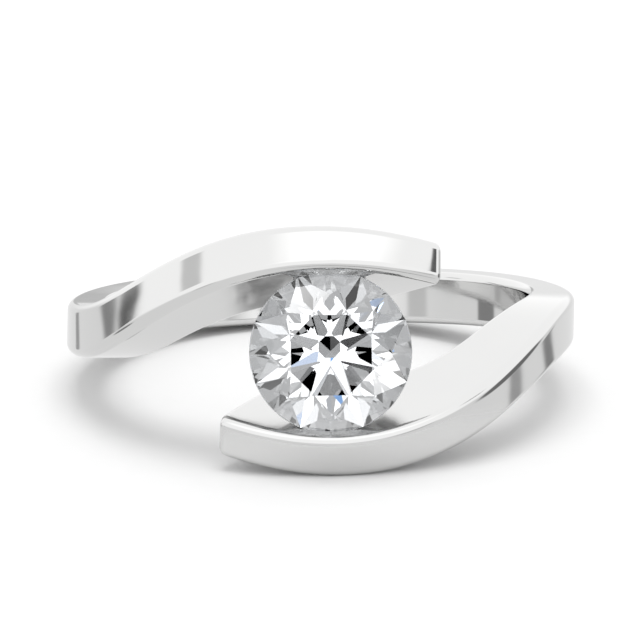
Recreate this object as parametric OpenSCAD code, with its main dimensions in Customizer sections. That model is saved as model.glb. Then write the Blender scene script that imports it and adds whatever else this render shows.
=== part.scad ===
// Solitaire ring whose two arms pass over and under one round brilliant stone.
// It is drawn about its finger axis (Z, stone towards -Y) and then laid on its side on the floor.
// Sizes in millimetres, +Z up.

/* [Band] */
// Inner radius of the finger hole
finger_r = 8.62; // [7.5:0.01:10.5]
// Radius of the band's four long edges on the outside
outer_edge_r = 0.35; // [0.1:0.01:0.5]
// Radius of the long edges beside the finger
inner_edge_r = 0.3; // [0.1:0.01:0.45]
// Radius of the edges round each arm's end
end_edge_r = 0.32; // [0.1:0.01:0.45]
// Radius of that end's corners, seen onto the outer face
end_corner_r = 0.16; // [0.05:0.01:0.3]
// How far the end's flat is turned from the finger's radius, in degrees
end_cut = 16; // [0:1:20]
// How far each arm runs on past the middle of the stone, in degrees
arm_past = 22.2; // [15:0.1:26]
// Angle between two sections of the sweep
section_step = 3; // [2:0.5:6]

/* [Stone] */
// Diameter of the stone at its girdle
stone_d = 6.5; // [5:0.05:7]
// Distance of the girdle from the finger axis
girdle_at = 11.6; // [11.4:0.01:12.2]
// Thickness of the girdle where two facets meet on it
girdle_t = 0.2; // [0.12:0.01:0.3]
// Table width, corner to corner, as a share of the diameter
table_share = 0.535; // [0.5:0.005:0.65]
// Slope of the main crown facets
crown_slope = 38; // [30:0.1:40]
// Slope of the main facets under the girdle
pavilion_slope = 40.85; // [38:0.05:42]
// Length of the star facets as a share of the crown
star_share = 0.48; // [0.4:0.01:0.65]
// Length of the lower girdle facets as a share of the pavilion
lower_share = 0.8; // [0.6:0.01:0.85]
// How far its face tips up, in degrees
stone_tip = 1.3; // [0:0.1:3]
// How far its face turns to the left, in degrees
stone_turn = 0.9; // [0:0.1:3]
// How far its middle sits below the band's
stone_drop = 0.04; // [0:0.01:0.1]
// Gap left between the stone and its groove in the arms
seat_gap = 0.03; // [0.01:0.01:0.1]

/* [Lying] */
// How far the resting ring tips back, so that the stone faces up, in degrees
lay_lean = 10.18; // [0:0.01:20]
// How far its right side is raised, in degrees
lay_roll = 1.16; // [-5:0.01:5]

/* [Hidden] */
stone_r = stone_d / 2;
corner_steps = 4;   // flats in each rounded edge
end_steps = 3;      // sections in each rounded arm end
bore_cut = 0.01;    // how deep the round bore trims the swept band
row_step = 15;      // degrees between two rows of the arm table
end_slant = 0.4;      // share of the square stand that is left at an arm's end
end_fade = 45;      // degrees over which the end's own stand fades out
bore_reach = 20;    // half length of the bore cutter
mains = 8;          // main facets of the stone
arc_steps = 4;      // flats on the girdle under each small facet

// The right arm, which goes round from the back and passes under the stone. Angles count from the stone (0) to the back (180).
// The left arm is the same one turned half round about the stone's axis.
// Columns: radius of the outer face's middle, its height, turn of the section (outer face towards the floor), width of the outer face
arm_rows = [
  // radius height turn  width
  [10.42,  0.00,   0.0, 2.27],   // 180, the back
  [10.42,  0.01,   0.0, 2.25],
  [10.43,  0.02,   0.0, 2.23],
  [10.42,  0.03,   0.5, 2.20],
  [10.38,  0.02,   1.5, 2.15],
  [10.34,  0.01,   2.0, 2.08],
  [10.42,  0.00,   2.0, 2.06],   // 90, the side
  [10.63,  0.01,   2.0, 2.12],
  [10.88, -0.29,   4.5, 2.26],
  [11.27, -1.44,  13.5, 2.36],
  [11.60, -3.02,  21.5, 2.26],
  [11.83, -4.10,  25.5, 2.00],
  [12.04, -4.43,  30.5, 1.87],   // 0, under the stone
  [12.10, -3.93,  19.5, 1.76],
  [12.05, -2.87,   8.0, 1.68],
  [11.98, -1.78, -10.0, 1.65],
];

// Smooth curve through the table. s counts from the back, positive into the right arm; before the back the other arm's row is used, turned over.
function row(i, c) = i >= 0 ? arm_rows[i][c] : (c == 1 || c == 2 ? -1 : 1) * arm_rows[-i][c];
function blend(f, a, b, c, d) =
  (pow(1 - f, 3) * a + (3 * pow(f, 3) - 6 * f * f + 4) * b + (-3 * pow(f, 3) + 3 * f * f + 3 * f + 1) * c + pow(f, 3) * d) / 6;
function arm_value(s, c) = let (i = floor(s / row_step), f = s / row_step - i)
  blend(f, row(i - 1, c), row(i, c), row(i + 1, c), row(i + 2, c));

// How far s is out of the end's reach, from 0 at the arm's end to 1
function clear_of_end(s) = let (t = min((180 + arm_past - s) / end_fade, 1)) t * t * (3 - 2 * t);
// A section stands square to the arm's run, less so at the arm's end, so its two sides stand at s plus and minus this
function slant(s) = let (fall = arm_value(s - 0.5, 1) - arm_value(s + 0.5, 1), per_radian = 180 / PI / arm_value(s, 0))
  (end_slant + (1 - end_slant) * clear_of_end(s)) * fall * per_radian * per_radian * arm_value(s, 3) / 2;

// Corners of one side of the section at s as [radius, height], on the outer face and at the finger. side is 1 at the seat, -1 at the far side.
// inset is how far the section is drawn in, first its outer face and then its sides.
function side_corners(s, side, inset) = let (
    turn = arm_value(s, 2), out = [cos(turn), -sin(turn)], along = [sin(turn), cos(turn)],
    a = [arm_value(s, 0), arm_value(s, 1)] - inset[0] * out + side * (arm_value(s, 3) / 2 - inset[1]) * along)
  [a, a - out * (a[0] - finger_r + bore_cut - inset[0]) / out[0]];
function section_corners(s, inset) = let (
    seat = side_corners(s + slant(s), 1, inset), far = side_corners(s - slant(s), -1, inset))
  [seat[0], far[0], far[1], seat[1]];

// One corner p of a section, rounded to radius r between its neighbours a and b
function rounded(p, a, b, r) = let (
    u = (a - p) / norm(a - p), v = (b - p) / norm(b - p), half = acos(u * v) / 2,
    centre = p + (u + v) / norm(u + v) * r / sin(half),
    from = p + u * r / tan(half) - centre, to = p + v * r / tan(half) - centre,
    start = atan2(from[1], from[0]), sweep = atan2(from[0] * to[1] - from[1] * to[0], from * to))
  [for (k = [0 : corner_steps]) centre + r * [cos(start + sweep * k / corner_steps), sin(start + sweep * k / corner_steps)]];

function section(s, inset) = let (c = section_corners(s, inset), ro = outer_edge_r, ri = inner_edge_r)
  [for (k = [0 : 3]) each rounded(c[k], c[(k + 3) % 4], c[(k + 1) % 4], (k < 2 ? ro : ri))];

// A section's points on the right arm, and the same turned half round for the left arm. Near the arm's end its inner part stands back.
function placed(s, inset) = let (
    c = section_corners(s, inset), middle = (c[0] + c[1]) / 2, half = (c[0] - c[1]) / 2,
    out = [half[1], -half[0]] / norm(half), back = tan(end_cut) * (1 - clear_of_end(s)) * 180 / PI)
  [for (p = section(s, inset)) let (
      angle = 180 - s - slant(s) * (p - middle) * half / (half * half) + back * (middle - p) * out / p[0])
    [p[0] * sin(angle), -p[0] * cos(angle), p[1]]];
function turned(points) = let (n = len(points)) [for (p = points) [-p[0], p[1], -p[2]]];

// Where the sections stand, from the back to the arm's end, with how far each is drawn in to round the end
arm_end = 180 + arm_past;
end_angle = end_edge_r / arm_value(arm_end, 0) * 180 / PI;
plain_end = arm_end - end_angle;
plain_count = ceil(plain_end / section_step);
stations = concat(
  [for (i = [0 : plain_count]) [plain_end * i / plain_count, [0, 0]]],
  [for (k = [1 : end_steps]) let (w = 90 * k / end_steps, round_corner = max(0, end_corner_r - end_edge_r * (1 - sin(w))))
    [plain_end + end_angle * sin(w), [end_edge_r * (1 - cos(w)), end_corner_r - sqrt(pow(end_corner_r, 2) - pow(round_corner, 2))]]]);

right_sections = [for (s = stations) placed(s[0], s[1])];
section_size = len(right_sections[0]);
half_shift = section_size / 2;   // turning over swaps the section's two sides
left_sections = [for (i = [len(stations) - 1 : -1 : 1]) let (t = turned(right_sections[i]))
  [for (j = [0 : section_size - 1]) t[(partner(j)) % section_size]]];
// The turned section's points in the same order as the right arm's: sides swapped, end for end
function partner(j) = j < half_shift ? half_shift - 1 - j : section_size - 1 - (j - half_shift);
all_sections = concat(left_sections, right_sections);

module swept_band() {
  n = section_size;
  m = len(all_sections);
  polyhedron(
    points = [for (s = all_sections) each s],
    faces = concat(
      [[for (j = [n - 1 : -1 : 0]) j]],
      [for (i = [0 : m - 2]) for (j = [0 : n - 1]) for (f = [[i * n + j, i * n + (j + 1) % n, (i + 1) * n + j],
                                                            [i * n + (j + 1) % n, (i + 1) * n + (j + 1) % n, (i + 1) * n + j]]) f],
      [[for (j = [0 : n - 1]) (m - 1) * n + j]]));
}

// Stone, drawn with its axis up and the girdle's middle at height 0
function at(r, angle, h) = [r * cos(angle), r * sin(angle), h];
function slope_h(r, off, slope) = (stone_r - r * cos(off)) * tan(slope) + girdle_t / 2;
half_main = 180 / mains;
table_r = stone_r * table_share;
table_mid = table_r * cos(half_main);
star_r = table_mid + (stone_r - table_mid) * star_share;
low_r = stone_r * (1 - lower_share);
// Height above the girdle's middle of the plane through three points
function plane_h(a, b, c, p) = let (n = cross(b - a, c - a)) a[2] - (n[0] * (p[0] - a[0]) + n[1] * (p[1] - a[1])) / n[2];
// One side of the stone: small facets' tips at radius tip_r on the main planes of the given slope
function side_tip(k, tip_r, slope) = at(tip_r, 2 * half_main * k, slope_h(tip_r, half_main, slope));
function girdle_point(i, tip_r, slope) = let (
    flat = floor(i / arc_steps), angle = half_main * i / arc_steps,
    tip = side_tip(round((flat + 0.01) / 2), tip_r, slope),
    a = at(stone_r, half_main * flat, girdle_t / 2), b = at(stone_r, half_main * (flat + 1), girdle_t / 2),
    p = at(stone_r, angle, 0))
  [p[0], p[1], i % arc_steps == 0 ? girdle_t / 2 : plane_h(tip, a, b, p)];
girdle_count = 2 * mains * arc_steps;
crown_h = slope_h(table_r, 0, crown_slope);
pavilion_h = slope_h(0, 0, pavilion_slope);

table_points = [for (k = [0 : mains - 1]) at(table_r, half_main * (2 * k + 1), crown_h)];
star_points = [for (k = [0 : mains - 1]) side_tip(k, star_r, crown_slope)];
top_girdle = [for (i = [0 : girdle_count - 1]) girdle_point(i, star_r, crown_slope)];
low_girdle = [for (i = [0 : girdle_count - 1]) let (p = girdle_point(i, low_r, pavilion_slope)) [p[0], p[1], -p[2]]];
low_points = [for (k = [0 : mains - 1]) let (p = side_tip(k, low_r, pavilion_slope)) [p[0], p[1], -p[2]]];
stone_points = concat(table_points, star_points, top_girdle, low_girdle, low_points, [[0, 0, -pavilion_h]]);

module brilliant() {
  star0 = mains;
  top0 = 2 * mains;
  low0 = top0 + girdle_count;
  tip0 = low0 + girdle_count;
  culet = tip0 + mains;
  g = girdle_count;
  m = mains;
  a = arc_steps;
  polyhedron(points = stone_points, faces = concat(
    [[for (k = [m - 1 : -1 : 0]) k]],
    [for (k = [0 : m - 1]) [k, star0 + k, (k + m - 1) % m]],
    [for (k = [0 : m - 1]) [k, star0 + (k + 1) % m, top0 + (2 * k + 1) * a, star0 + k]],
    [for (k = [0 : m - 1]) for (side = [0, 1]) let (first = (2 * k - 1 + side + 2 * m) * a)
      [star0 + k, each [for (i = [a : -1 : 0]) top0 + (first + i) % g]]],
    [for (i = [0 : g - 1]) [top0 + i, top0 + (i + 1) % g, low0 + (i + 1) % g, low0 + i]],
    [for (k = [0 : m - 1]) for (side = [0, 1]) let (first = (2 * k - 1 + side + 2 * m) * a)
      [tip0 + k, each [for (i = [0 : a]) low0 + (first + i) % g]]],
    [for (k = [0 : m - 1]) [culet, tip0 + k, low0 + (2 * k + 1) * a, tip0 + (k + 1) % m]]));
}

// The stone's outline with a gap all round, turned about its axis: it cuts the groove that grips the girdle
module groove() {
  r = stone_r + seat_gap;
  h = girdle_t / 2 + seat_gap;
  rotate_extrude() polygon([[0, -h - r * tan(pavilion_slope)], [r, -h], [r, h], [0, h + r * tan(crown_slope)]]);
}

// From the stone's own axes to its place in the ring, for solids and for single points
module at_stone() { translate([0, -girdle_at, -stone_drop]) rotate([90 - stone_tip, 0, -stone_turn]) children(); }
function in_ring(p) = let (y = p[1] * sin(stone_tip) - p[2] * cos(stone_tip), z = p[1] * cos(stone_tip) + p[2] * sin(stone_tip))
  [p[0] * cos(stone_turn) + y * sin(stone_turn), -p[0] * sin(stone_turn) + y * cos(stone_turn) - girdle_at, z - stone_drop];

// Resting pose: leaned, rolled, then set down with the box's middle over the origin
function leaned(p) = let (q = [p[0], p[1] * cos(lay_lean) + p[2] * sin(lay_lean), -p[1] * sin(lay_lean) + p[2] * cos(lay_lean)])
  [q[0] * cos(lay_roll) - q[2] * sin(lay_roll), q[1], q[0] * sin(lay_roll) + q[2] * cos(lay_roll)];
outline = [for (s = all_sections) for (p = s) leaned(p), for (p = stone_points) leaned(in_ring(p))];
function span(c) = let (v = [for (p = outline) p[c]]) [min(v), max(v)];
down = [(span(0)[0] + span(0)[1]) / 2, (span(1)[0] + span(1)[1]) / 2, span(2)[0]];

module lay() { translate(-down) rotate([0, -lay_roll, 0]) rotate([-lay_lean, 0, 0]) children(); }

module band() {
  color([0.83, 0.83, 0.84]) lay() difference() {
    swept_band();
    rotate([0, 0, -90]) cylinder(r = finger_r, h = 2 * bore_reach, center = true, $fn = 180);   // its seam on the stone's side
    at_stone() groove($fn = 120);
  }
}

module stone() {
  color([0.9, 0.94, 1.0]) lay() at_stone() brilliant();
}

band();
stone();
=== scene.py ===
"""Solitaire ring of polished white gold, lying on its side: two arms grip one round brilliant stone.
Lengths are in metres, except those marked as millimetres."""
from math import acos, ceil, cos, degrees, floor, pi, radians, sin, sqrt, tan

import bmesh
import bpy
from mathutils import Matrix, Vector


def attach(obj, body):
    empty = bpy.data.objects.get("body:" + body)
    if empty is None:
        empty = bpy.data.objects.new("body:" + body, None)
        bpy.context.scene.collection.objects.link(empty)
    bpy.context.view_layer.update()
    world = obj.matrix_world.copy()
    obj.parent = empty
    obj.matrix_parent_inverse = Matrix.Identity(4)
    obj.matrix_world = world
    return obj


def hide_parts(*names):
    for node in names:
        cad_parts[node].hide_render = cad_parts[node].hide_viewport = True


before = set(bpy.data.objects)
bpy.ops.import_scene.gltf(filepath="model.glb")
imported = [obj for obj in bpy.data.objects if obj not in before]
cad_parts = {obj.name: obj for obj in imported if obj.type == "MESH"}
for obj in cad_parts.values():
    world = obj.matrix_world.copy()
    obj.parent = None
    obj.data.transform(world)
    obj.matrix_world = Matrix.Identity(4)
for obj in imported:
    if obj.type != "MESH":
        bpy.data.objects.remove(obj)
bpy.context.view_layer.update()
scene = bpy.context.scene
MM = 0.001

# The ring's own sizes, as the solids have them, in millimetres and degrees
FINGER_R = 8.62
OUTER_EDGE_R, INNER_EDGE_R, END_EDGE_R, END_CORNER_R = 0.35, 0.3, 0.32, 0.16
ARM_PAST = 22.2          # how far an arm runs on past the stone's middle
ROW_STEP = 15            # between two rows of the arm table
STONE_D, GIRDLE_AT, GIRDLE_T, SEAT_GAP = 6.5, 11.6, 0.2, 0.03
CROWN_SLOPE, PAVILION_SLOPE = 38.0, 40.85
STONE_TIP, STONE_TURN, STONE_DROP = 1.3, 0.9, 0.04
LEAN, ROLL = 10.18, 1.16
# From the ring's own middle to the middle of its box's underside, once it leans
SET_DOWN = Vector((-0.0018709, -1.30764, -2.90718))
# Right arm from the back to its end past the stone: middle of the outer face, turn of the section and width
ARM_ROWS = [
    # radius, height, turn, width
    (10.42, 0.00, 0.0, 2.27),    # the back
    (10.42, 0.01, 0.0, 2.25),
    (10.43, 0.02, 0.0, 2.23),
    (10.42, 0.03, 0.5, 2.20),
    (10.38, 0.02, 1.5, 2.15),
    (10.34, 0.01, 2.0, 2.08),
    (10.42, 0.00, 2.0, 2.06),    # the side
    (10.63, 0.01, 2.0, 2.12),
    (10.88, -0.29, 4.5, 2.26),
    (11.27, -1.44, 13.5, 2.36),
    (11.60, -3.02, 21.5, 2.26),
    (11.83, -4.10, 25.5, 2.00),
    (12.04, -4.43, 30.5, 1.87),  # under the stone
    (12.10, -3.93, 19.5, 1.76),
    (12.05, -2.87, 8.0, 1.68),
    (11.98, -1.78, -10.0, 1.65),
]
END_SLANT = 0.4          # sections stand square to the arm's run, but only by this share at its end
END_CUT = 16             # how far the end's flat is turned from the finger's radius
END_FADE = 45            # how far from the end both fade out
SECTION_STEP = 1.2       # degrees between two sections of the finished band
CORNER_STEPS = 7         # flats in each rounded long edge
END_STEPS = 6            # sections in each rounded arm end
# Extra points across each flat, so that its light isn't bent by the edges
FLAT_STOPS = (0.015, 0.35, 0.65, 0.985)
GROOVE_STEPS = 180       # flats round the stone's groove
MERGE_WITHIN = 1e-4      # points of the groove's shape that are closer become one
CREASE = 30              # faces that meet at more than this stay sharp

# From the ring's own frame (finger axis up, stone towards -Y) to its resting place on the floor
RESTING = (Matrix.Scale(MM, 4) @ Matrix.Translation(-SET_DOWN)
           @ Matrix.Rotation(radians(-ROLL), 4, "Y") @ Matrix.Rotation(radians(-LEAN), 4, "X"))
# From the stone's own axes (axis up, girdle's middle at 0) to its place in the ring
STONE_PLACE = (Matrix.Translation((0, -GIRDLE_AT, -STONE_DROP))
               @ Matrix.Rotation(radians(-STONE_TURN), 4, "Z")
               @ Matrix.Rotation(radians(90 - STONE_TIP), 4, "X"))


# The band

def arm_row(i, column):
    """A row of the arm table. Past the back it is the other arm's, with its height and turn the other way."""
    if i >= 0:
        return ARM_ROWS[i][column]
    return (-1 if column in (1, 2) else 1) * ARM_ROWS[-i][column]


def arm_value(s, column):
    """The table's smooth curve at s degrees from the back, into the right arm."""
    i = floor(s / ROW_STEP)
    f = s / ROW_STEP - i
    weights = (1 - f) ** 3, 3 * f**3 - 6 * f**2 + 4, -3 * f**3 + 3 * f**2 + 3 * f + 1, f**3
    return sum(weight * arm_row(i + k, column) for k, weight in zip((-1, 0, 1, 2), weights)) / 6


def rounded_corner(p, a, b, r):
    """Points round the corner p between its neighbours a and b."""
    u, v = (a - p).normalized(), (b - p).normalized()
    half = acos(u.dot(v)) / 2
    centre = p + (u + v).normalized() * r / sin(half)
    start, stop = p + u * r / tan(half) - centre, p + v * r / tan(half) - centre
    sweep = start.angle_signed(stop)
    return [centre + Matrix.Rotation(-sweep * k / CORNER_STEPS, 2) @ start for k in range(CORNER_STEPS + 1)]


def clear_of_end(s):
    """How far s is out of the end's reach, from 0 at the arm's end to 1."""
    t = min((180 + ARM_PAST - s) / END_FADE, 1)
    return t * t * (3 - 2 * t)


def slant(s):
    """How far the seat side of the section stands on past s, in degrees, to be square to the arm's run."""
    share = END_SLANT + (1 - END_SLANT) * clear_of_end(s)
    fall = arm_value(s - 0.5, 1) - arm_value(s + 0.5, 1)
    return share * fall * degrees(1 / arm_value(s, 0)) ** 2 * arm_value(s, 3) / 2


def side_corners(s, side, inset):
    """Corners of one side of the section, on the outer face and at the finger.
    side is 1 at the seat and -1 at the far side. inset is how far the outer face and the sides are drawn in."""
    radius, height, turn, width = (arm_value(s, c) for c in range(4))
    out = Vector((cos(radians(turn)), -sin(radians(turn))))
    along = Vector((-out.y, out.x))
    corner = Vector((radius, height)) - inset[0] * out + side * (width / 2 - inset[1]) * along
    return corner, corner - out * (corner.x - FINGER_R - inset[0]) / out.x


def band_section(s, inset):
    """The band's rounded outline at s degrees from the back, as (radius, height, degrees from the back)."""
    seat, far = side_corners(s + slant(s), 1, inset), side_corners(s - slant(s), -1, inset)
    corners = [seat[0], far[0], far[1], seat[1]]
    radii = [OUTER_EDGE_R, OUTER_EDGE_R, INNER_EDGE_R, INNER_EDGE_R]
    rounds = [rounded_corner(corners[k], corners[k - 1], corners[(k + 1) % 4], radii[k]) for k in range(4)]
    points = []
    for k in range(4):
        points += rounds[k]
        start, stop = rounds[k][-1], rounds[(k + 1) % 4][0]
        points += [start.lerp(stop, f) for f in FLAT_STOPS]
    middle, half = (seat[0] + far[0]) / 2, (seat[0] - far[0]) / 2
    out = Vector((half.y, -half.x)).normalized()
    back = degrees(tan(radians(END_CUT))) * (1 - clear_of_end(s))
    outline = []
    for p in points:
        forward = slant(s) * (p - middle).dot(half) / half.length_squared
        behind = back * (middle - p).dot(out) / p.x   # near the arm's end its inner part stands back
        outline.append((p.x, p.y, s + forward - behind))
    return outline


def placed_section(s, inset):
    """The outline in the ring's own frame.
    Before the back it is the right arm's, turned half round about the stone's axis."""
    points = []
    for r, h, at in band_section(abs(s), inset):
        around = radians(180 - at)
        points.append(Vector((r * sin(around), -r * cos(around), h)))
    if s >= 0:
        return points
    n = len(points)
    shift = 2 * (CORNER_STEPS + 1) + len(FLAT_STOPS) - 1   # the turned outline runs the other way round
    turned = [Vector((-p.x, p.y, -p.z)) for p in points]
    return [turned[(shift - k) % n] for k in range(n)]


def band_stations():
    """Places of the sections from the left arm's end round the back to the right arm's end.
    Each has how far it is drawn in."""
    last = 180 + ARM_PAST
    end_angle = END_EDGE_R / arm_value(last, 0) * 180 / pi
    plain = last - end_angle
    count = ceil(plain / SECTION_STEP)
    right = [(plain * i / count, (0.0, 0.0)) for i in range(count + 1)]
    for k in range(1, END_STEPS + 1):
        w = pi / 2 * k / END_STEPS
        round_corner = max(0, END_CORNER_R - END_EDGE_R * (1 - sin(w)))
        inset = END_EDGE_R * (1 - cos(w)), END_CORNER_R - sqrt(END_CORNER_R**2 - round_corner**2)
        right.append((plain + end_angle * sin(w), inset))
    return [(-s, inset) for s, inset in reversed(right[1:])] + right


def new_piece(name, bm):
    mesh = bpy.data.meshes.new(name)
    bm.to_mesh(mesh)
    bm.free()
    piece = bpy.data.objects.new(name, mesh)
    scene.collection.objects.link(piece)
    return piece


def drawn_band():
    """The bar is drawn out of its first section, one section at a time."""
    stations = band_stations()
    bm = bmesh.new()
    ring = [bm.verts.new(p) for p in placed_section(*stations[0])]
    n = len(ring)
    edges = [bm.edges.new((ring[k], ring[(k + 1) % n])) for k in range(n)]
    bm.faces.new(ring)
    for station in stations[1:]:
        drawn = set(bmesh.ops.extrude_edge_only(bm, edges=edges)["geom"])
        ring = [next(e.other_vert(v) for e in v.link_edges if e.other_vert(v) in drawn) for v in ring]
        for v, p in zip(ring, placed_section(*station)):
            v.co = p
        edges = [bm.edges.get((ring[k], ring[(k + 1) % n])) for k in range(n)]
    bm.faces.new(ring)
    bmesh.ops.recalc_face_normals(bm, faces=bm.faces)
    return bm


def groove_cutter():
    """The stone's outline with its gap all round, turned about the stone's axis."""
    r, h = STONE_D / 2 + SEAT_GAP, GIRDLE_T / 2 + SEAT_GAP
    culet, table = -h - r * tan(radians(PAVILION_SLOPE)), h + r * tan(radians(CROWN_SLOPE))
    bm = bmesh.new()
    outline = [bm.verts.new(p) for p in ((0, 0, culet), (r, 0, -h), (r, 0, h), (0, 0, table))]
    edges = [bm.edges.new(pair) for pair in zip(outline, outline[1:])]
    bmesh.ops.spin(bm, geom=outline + edges, axis=(0, 0, 1), cent=(0, 0, 0), angle=2 * pi,
                   steps=GROOVE_STEPS, use_merge=True)
    bmesh.ops.remove_doubles(bm, verts=bm.verts, dist=MERGE_WITHIN)
    bmesh.ops.recalc_face_normals(bm, faces=bm.faces)
    bm.transform(STONE_PLACE)
    return bm


def cut(piece, bm):
    """Takes the shape bm out of the piece."""
    cutter = new_piece("cutter", bm)
    change = piece.modifiers.new("cut", "BOOLEAN")
    change.object = cutter
    finished = bpy.data.meshes.new_from_object(piece.evaluated_get(bpy.context.evaluated_depsgraph_get()))
    piece.modifiers.clear()
    finished.name = piece.data.name
    piece.data = finished
    bpy.data.objects.remove(cutter)


# Materials

def linear(hex_colour):
    channels = [int(hex_colour[i:i + 2], 16) / 255 for i in (1, 3, 5)]
    return [c / 12.92 if c <= 0.04045 else ((c + 0.055) / 1.055) ** 2.4 for c in channels] + [1.0]


def add(tree, kind, settings=None, links=None):
    """Adds one node. settings go to its sockets by name or number, or to the node itself.
    links join its sockets to other nodes' outputs."""
    node = tree.nodes.new(kind)
    for name, value in (settings or {}).items():
        if isinstance(name, int) or name in node.inputs:
            node.inputs[name].default_value = value
        else:
            setattr(node, name, value)
    for name, output in (links or {}).items():
        tree.links.new(output, node.inputs[name])
    return node


def new_material(name):
    material = bpy.data.materials.new(name)
    material.use_nodes = True
    material.node_tree.nodes.clear()
    return material, material.node_tree


def lumps(size_mm):
    """The scale of a noise whose largest lumps are about size_mm across."""
    return 1 / (size_mm * MM)


def in_stone_axes(tree, where):
    """The place in millimetres from the girdle's middle, along the stone's own axes."""
    place = RESTING @ STONE_PLACE
    return add(tree, "ShaderNodeMapping",
               {"vector_type": "TEXTURE", "Location": place.translation, "Rotation": place.to_euler(),
                "Scale": (MM, MM, MM)}, {"Vector": where}).outputs["Vector"]


def polished_white_gold():
    """Rhodium-plated white gold, cast, filed and then buffed on a cloth wheel.
    It mirrors light and dark sharply, with a little haze in patches and hair-fine lines from the wheel.
    The seats beside the stone are polished by hand along the stone's axis, so that its mirror image there
    is blurred and drawn out in streaks."""
    seat_reach, seat_clear = 3.6, 5.2    # millimetres from the stone's middle: polished by hand, and no longer
    seat_haze = 0.05                     # roughness that the hand polish adds
    material, tree = new_material("polished white gold")
    where = add(tree, "ShaderNodeTexCoord").outputs["Object"]
    clouds = add(tree, "ShaderNodeTexNoise", {"Scale": lumps(1.2)}, {"Vector": where})
    haze = add(tree, "ShaderNodeMapRange", {"From Min": 0.35, "From Max": 0.65, "To Min": 0.06, "To Max": 0.09},
               {"Value": clouds.outputs["Fac"]})
    from_stone = in_stone_axes(tree, where)
    off_stone = add(tree, "ShaderNodeVectorMath", {"operation": "LENGTH"}, {0: from_stone})
    by_hand = add(tree, "ShaderNodeMapRange",
                  {"interpolation_type": "SMOOTHSTEP", "From Min": seat_clear, "From Max": seat_reach},
                  {"Value": off_stone.outputs["Value"]}).outputs["Result"]
    roughness = add(tree, "ShaderNodeMath", {"operation": "MULTIPLY_ADD", 1: seat_haze},
                    {0: by_hand, 2: haze.outputs["Result"]})
    patches = add(tree, "ShaderNodeTexNoise", {"Scale": lumps(2.5)}, {"Vector": where})
    plating = add(tree, "ShaderNodeMix", {"data_type": "RGBA", 6: linear("#D6D6D6"), 7: linear("#D9D9D8")},
                  {0: patches.outputs["Fac"]})
    along_wheel = add(tree, "ShaderNodeMapping", {"Scale": (1, 1, 12)}, {"Vector": where})
    hairs = add(tree, "ShaderNodeTexNoise", {"Scale": lumps(0.4)}, {"Vector": along_wheel.outputs["Vector"]})
    lines = add(tree, "ShaderNodeBump", {"Strength": 0.04, "Distance": 0.0005 * MM},
                {"Height": hairs.outputs["Fac"]})
    along_stone = add(tree, "ShaderNodeMapping", {"Scale": (MM, MM, 0.02 * MM)}, {"Vector": from_stone})
    strokes = add(tree, "ShaderNodeTexNoise", {"Scale": lumps(0.5), "Detail": 0.0},
                  {"Vector": along_stone.outputs["Vector"]})
    streaks = add(tree, "ShaderNodeBump", {"Distance": 0.007 * MM},
                  {"Strength": by_hand, "Height": strokes.outputs["Fac"], "Normal": lines.outputs["Normal"]})
    shader = add(tree, "ShaderNodeBsdfPrincipled", {"Metallic": 1.0},
                 {"Base Color": plating.outputs[2], "Roughness": roughness.outputs[0],
                  "Normal": streaks.outputs["Normal"]})
    add(tree, "ShaderNodeOutputMaterial", links={"Surface": shader.outputs["BSDF"]})
    return material


def cut_diamond():
    """Diamond, cut and polished facet by facet: clear, with hard-edged bright and dark places.
    Only its thin girdle is ground matt and doesn't sparkle. Growth zones leave faintly cooler patches."""
    matt_starts, matt_full = 0.45 * GIRDLE_T, 0.44 * GIRDLE_T    # millimetres from the girdle's middle
    material, tree = new_material("cut diamond")
    where = add(tree, "ShaderNodeTexCoord").outputs["Object"]
    height = add(tree, "ShaderNodeSeparateXYZ", links={"Vector": in_stone_axes(tree, where)}).outputs["Z"]
    off_girdle = add(tree, "ShaderNodeMath", {"operation": "ABSOLUTE"}, {0: height})
    matt = add(tree, "ShaderNodeMapRange",
               {"From Min": matt_starts, "From Max": matt_full, "To Min": 0.0, "To Max": 0.4},
               {"Value": off_girdle.outputs[0]})
    growth = add(tree, "ShaderNodeTexNoise", {"Scale": lumps(1.5)}, {"Vector": where})
    zones = add(tree, "ShaderNodeMix", {"data_type": "RGBA", 6: linear("#FFFFFF"), 7: linear("#F6FAFF")},
                {0: growth.outputs["Fac"]})
    shader = add(tree, "ShaderNodeBsdfPrincipled", {"IOR": 2.417, "Transmission Weight": 1.0},
                 {"Base Color": zones.outputs[2], "Roughness": matt.outputs["Result"]})
    add(tree, "ShaderNodeOutputMaterial", links={"Surface": shader.outputs["BSDF"]})
    return material


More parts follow.
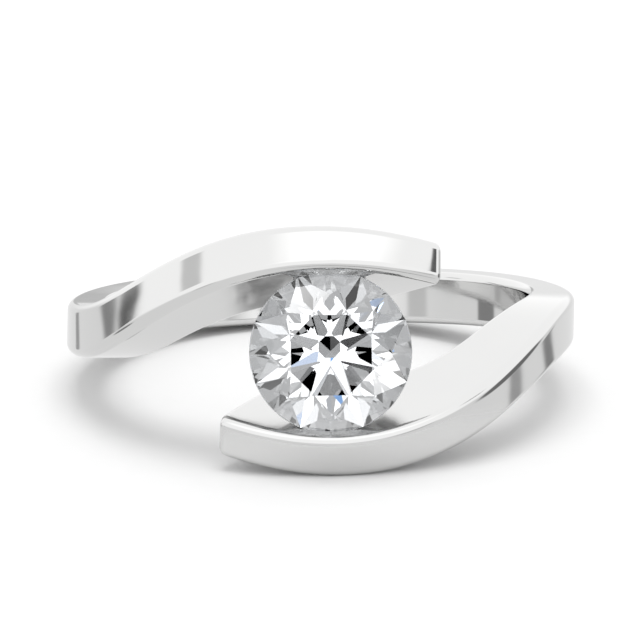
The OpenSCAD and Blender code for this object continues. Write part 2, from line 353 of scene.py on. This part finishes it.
def white_floor():
    """Matt white paper, with a soft tooth that keeps it from shining.
    The metal and the stone see it only where it is close, with their own shadow on it. Further off they see
    the studio."""
    seen_within, gone_past = 1.5 * MM, 5 * MM
    material, tree = new_material("white paper floor")
    where = add(tree, "ShaderNodeTexCoord").outputs["Object"]
    pulp = add(tree, "ShaderNodeTexNoise", {"Scale": lumps(0.8)}, {"Vector": where})
    shade = add(tree, "ShaderNodeMix", {"data_type": "RGBA", 6: linear("#E1E1E1"), 7: linear("#E3E3E3")},
                {0: pulp.outputs["Fac"]})
    fibres = add(tree, "ShaderNodeTexNoise", {"Scale": lumps(0.15)}, {"Vector": where})
    tooth = add(tree, "ShaderNodeBump", {"Strength": 0.1, "Distance": 0.005 * MM},
                {"Height": fibres.outputs["Fac"]})
    paper = add(tree, "ShaderNodeBsdfPrincipled", {"Roughness": 0.8},
                {"Base Color": shade.outputs[2], "Normal": tooth.outputs["Normal"]})
    clear = add(tree, "ShaderNodeBsdfTransparent")
    path = add(tree, "ShaderNodeLightPath").outputs
    mirrored = add(tree, "ShaderNodeMath", {"operation": "MAXIMUM"},
                   {0: path["Is Glossy Ray"], 1: path["Is Transmission Ray"]})
    far = add(tree, "ShaderNodeMapRange",
              {"interpolation_type": "SMOOTHSTEP", "From Min": seen_within, "From Max": gone_past},
              {"Value": path["Ray Length"]})
    left_out = add(tree, "ShaderNodeMath", {"operation": "MULTIPLY"},
                   {0: mirrored.outputs[0], 1: far.outputs["Result"]})
    shown = add(tree, "ShaderNodeMixShader",
                links={0: left_out.outputs[0], 1: paper.outputs["BSDF"], 2: clear.outputs["BSDF"]})
    add(tree, "ShaderNodeOutputMaterial", links={"Surface": shown.outputs["Shader"]})
    return material


# The ring

bm = drawn_band()
bm.transform(RESTING)
band = new_piece("polished_band", bm)
bm = groove_cutter()
bm.transform(RESTING)
cut(band, bm)
for face in band.data.polygons:
    face.use_smooth = True
band.data.set_sharp_from_angle(angle=radians(CREASE))
band.data.materials.append(polished_white_gold())
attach(band, "root")
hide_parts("band")

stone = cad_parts["stone"]
stone.data.materials.clear()
stone.data.materials.append(cut_diamond())

# Floor, light and camera

FLOOR_HALF = 3.0
bm = bmesh.new()
bmesh.ops.create_grid(bm, x_segments=1, y_segments=1, size=FLOOR_HALF)
floor_sheet = new_piece("floor", bm)
floor_sheet.data.materials.append(white_floor())

# The studio as the polished metal sees it: white above, light grey below, with soft boxes and dark flags.
# The grey turns white at the skyline, over the degrees that SKYLINE_SOFT says
FLOOR_GREY, SKY_WHITE, SKYLINE_SOFT = 0.9, 1.25, 10.0
# A card is an ellipse with a soft edge, and a later one lies over an earlier one. Its columns are degrees round
# from the camera's side, degrees up, half width, half height, tilt, share that is soft edge, and brightness
METAL_CARDS = [
    (0, 55, 38, 20, 0, 0.4, 1.5),          # soft box high in front, for the upper arm's white stretch
    (100, -10, 22, 18, 0, 0.3, 0.2),       # black flag on the right
    (105, -33, 20, 8, 10, 0.4, 0.9),       # light strip below it
    (-93, 24, 6, 8, 0, 0.5, 0.75),         # grey strip on the left, for the left arm's rise
    (-117, 2, 2, 10, -35, 0.5, 0.15),      # dark strips on the left, for its twist and its low end
    (-125, -4, 2, 8, -40, 0.6, 0.3),
    (-149, -14, 3, 5, 0, 0.5, 0.4),
    (65, 25, 8, 2.5, -25, 0.5, 0.08),      # narrow flag, for the dark strip at the upper arm's end
    (172, -58, 3, 2.5, 0, 0.5, 0.08),      # small flags behind
    (-179, -4, 3, 6, 0, 0.4, 0.55),
    (42, 0, 14, 12, 0, 0.5, 0.6),          # grey card on the right in front
    (134, -19, 4, 10, 10, 0.6, 0.28),      # dark strips on the right, for the stripes on the right arm
    (117, -25, 4, 8, 20, 0.6, 0.42),
    (-108, -11, 9, 5, 0, 0.3, 0.28),       # dark and grey cards on the left, for the inside of the shank
    (-58, -2, 8, 6, 0, 0.5, 0.7),
    (14, 20, 50, 27, 0, 0.3, 1.28),        # soft box in front, over part of the cards there
    (13, -35, 42, 5, -12, 0.8, 0.25),      # thin flag below it
]
# The stone has lamps and flags of its own, small and strong
STONE_GREY = 0.55
STONE_CARDS = [
    (0, 10, 35, 40, 0, 0.9, 2.3),          # large diffuser in front
    (-85, 60, 9, 9, 0, 0.2, 6.0),          # strong lamps on both sides
    (70, -20, 4, 4, 0, 0.4, 6.0),
    (-85, 35, 17, 17, 0, 0.3, 0.0),        # black flags at both sides, above and behind
    (72, 33, 15, 18, 0, 0.2, 0.0),
    (-35, 78, 11, 8, 0, 0.2, 0.0),
    (-160, -5, 22, 26, 0, 0.2, 0.0),
    (0, 4, 5, 4, 0, 0.4, 0.0),             # the lens's own dark mouth
]
# Small black flags stand round the lens like petals, so that each facet has dark and bright to mirror
PETALS, PETAL_OFF, PETAL_SIZE, PETAL_SOFT, LENS_UP = 8, 28, 5, 0.4, 4
for k in range(PETALS):
    petal_turn = 2 * pi * (k + 0.5) / PETALS
    petal_at = PETAL_OFF * cos(petal_turn), LENS_UP + PETAL_OFF * sin(petal_turn)
    STONE_CARDS.append((*petal_at, PETAL_SIZE, PETAL_SIZE, 0, PETAL_SOFT, 0.0))
# Strips of blue sky in the stone's surroundings. Their last column is the share of blue
STONE_BLUES = [
    (10, 26, 5.5, 2.2, -10, 0.3, 0.9),
    (-73, 54, 3.5, 3.5, 0, 0.3, 0.6),
    (-32, 22, 3.5, 3.5, 0, 0.3, 0.4),
    (-20, -3, 3.5, 3.5, 0, 0.3, 0.35),
]


def with_cards(tree, way, light, cards):
    """Lays the cards over the light, which each ray finds in its way."""
    for around, raised, half_w, half_h, tilt, soft, brightness in cards:
        around, raised, tilt = radians(around), radians(raised), radians(tilt)
        middle = Vector((sin(around) * cos(raised), -cos(around) * cos(raised), sin(raised)))
        side = Vector((cos(around), sin(around), 0))
        over = Vector((-sin(around) * sin(raised), cos(around) * sin(raised), cos(raised)))
        across, upright = side * cos(tilt) + over * sin(tilt), over * cos(tilt) - side * sin(tilt)
        w, h = 2 * sin(radians(half_w) / 2), 2 * sin(radians(half_h) / 2)
        # a ball's gradient, 1 in its middle and 0 at its rim, stands at the card's middle among the directions
        card = add(tree, "ShaderNodeTexGradient", {"gradient_type": "SPHERICAL"}, {"Vector": way})
        card.texture_mapping.vector_type = "TEXTURE"
        card.texture_mapping.translation = middle
        card.texture_mapping.rotation = Matrix((across, upright, middle)).transposed().to_euler()
        card.texture_mapping.scale = (w, h, max(w, h))
        share = add(tree, "ShaderNodeMapRange", {"interpolation_type": "SMOOTHSTEP", "From Max": soft},
                    {"Value": card.outputs["Fac"]})
        light = add(tree, "ShaderNodeMix", {"data_type": "FLOAT", 3: brightness},
                    {0: share.outputs["Result"], 2: light}).outputs[0]
    return light


def studio():
    world = bpy.data.worlds.new("studio")
    world.use_nodes = True
    world.cycles.sampling_method = "NONE"   # every ray simply looks where it goes, which is quicker here
    tree = world.node_tree
    tree.nodes.clear()
    way = add(tree, "ShaderNodeTexCoord").outputs["Generated"]
    rise = add(tree, "ShaderNodeSeparateXYZ", links={"Vector": way}).outputs["Z"]
    skyline = sin(radians(SKYLINE_SOFT / 2))
    sky = add(tree, "ShaderNodeMapRange",
              {"interpolation_type": "SMOOTHSTEP", "From Min": -skyline, "From Max": skyline,
               "To Min": FLOOR_GREY, "To Max": SKY_WHITE}, {"Value": rise})
    grey, no_blue = (add(tree, "ShaderNodeValue").outputs["Value"] for _ in range(2))
    grey.default_value, no_blue.default_value = STONE_GREY, 0.0
    for_metal = with_cards(tree, way, sky.outputs["Result"], METAL_CARDS)
    for_stone = with_cards(tree, way, grey, STONE_CARDS)
    blue = with_cards(tree, way, no_blue, STONE_BLUES)
    tint = add(tree, "ShaderNodeMix", {"data_type": "RGBA", 6: linear("#FFFFFF"), 7: linear("#6FB4FF")},
               {0: blue})
    tinted = add(tree, "ShaderNodeVectorMath", {"operation": "SCALE"},
                 {"Vector": tint.outputs[2], "Scale": for_stone})
    # the stone's rays are perfectly sharp and the metal's aren't, and the camera and the paper see plain white
    path = add(tree, "ShaderNodeLightPath").outputs
    light = add(tree, "ShaderNodeMix", {"data_type": "RGBA"},
                {0: path["Is Singular Ray"], 6: for_metal, 7: tinted.outputs[0]})
    plain = add(tree, "ShaderNodeMath", {"operation": "MAXIMUM"},
                {0: path["Is Camera Ray"], 1: path["Is Diffuse Ray"]})
    shown = add(tree, "ShaderNodeMix", {"data_type": "RGBA", 7: linear("#FFFFFF")},
                {0: plain.outputs[0], 6: light.outputs[2]})
    surround = add(tree, "ShaderNodeBackground", {"Strength": 1.0}, {"Color": shown.outputs[2]})
    add(tree, "ShaderNodeOutputWorld", links={"Surface": surround.outputs["Background"]})
    return world


scene.world = studio()

# One soft box straight overhead throws the soft shadow. The metal and the stone see the studio instead of it
SOFT_BOX_SIZE, SOFT_BOX_POWER, SOFT_BOX_HEIGHT = 0.3, 1.15, 0.5
soft_box = bpy.data.lights.new("overhead soft box", "AREA")
soft_box.size, soft_box.energy = SOFT_BOX_SIZE, SOFT_BOX_POWER
lamp = bpy.data.objects.new("overhead soft box", soft_box)
lamp.location.z = SOFT_BOX_HEIGHT
lamp.visible_glossy = lamp.visible_transmission = False
scene.collection.objects.link(lamp)

# The camera looks at the ring's middle from well away, with a long lens. Lengths here are in millimetres
CAMERA_AWAY, CAMERA_YAW, CAMERA_RISE, CAMERA_TURN, CAMERA_LENS = 303.0, -2.00, 6.34, -0.87, 411.6
AIM_BELOW = 0.029        # how far below the finger axis's middle it aims
yaw, rise, turn = radians(CAMERA_YAW), radians(CAMERA_RISE), radians(CAMERA_TURN)
toward = Vector((sin(yaw) * cos(rise), -cos(yaw) * cos(rise), sin(rise)))
right = (-toward).cross(Vector((0, 0, 1))).normalized()
up = right.cross(-toward)
right, up = right * cos(turn) + up * sin(turn), up * cos(turn) - right * sin(turn)
lens = bpy.data.cameras.new("camera")
lens.lens = CAMERA_LENS
lens.clip_end = 10.0
camera = bpy.data.objects.new("camera", lens)
scene.collection.objects.link(camera)
facing = RESTING.to_3x3().normalized() @ Matrix((right, up, toward)).transposed()
camera_place = RESTING @ (CAMERA_AWAY * toward - AIM_BELOW * up)
camera.matrix_world = Matrix.Translation(camera_place) @ facing.to_4x4()
scene.camera = camera
scene.view_settings.view_transform = "Standard"

bpy.context.view_layer.update()
